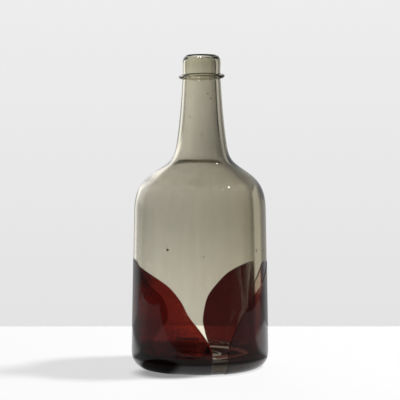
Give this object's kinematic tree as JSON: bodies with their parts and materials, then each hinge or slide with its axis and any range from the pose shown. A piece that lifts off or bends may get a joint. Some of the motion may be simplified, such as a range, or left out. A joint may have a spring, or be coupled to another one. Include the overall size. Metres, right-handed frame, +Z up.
{
  "type": "art glass bottle",
  "caption": "Blown smoke-grey glass bottle with a long neck, a ring under the lip and two dark red glass petals let into its body.",
  "frame": {"origin": "centre of the foot on the surface the bottle stands on", "axes": "+Z up along the bottle, -Y towards the front where the two petals part"},
  "size_m": [0.1395, 0.1404, 0.3201],
  "materials": {
    "smoke_glass": "fire-polished blown glass, smoke grey",
    "red_glass": "dark red overlay glass, flush with the body",
    "clear_film": "thin clear film, blank"
  },
  "bodies": {
    "root": {"bottle_body": "smoke_glass", "neck_ring": "smoke_glass", "petal_left": "red_glass", "petal_right": "red_glass", "clear_label": "clear_film"}
  },
  "joints": []
}
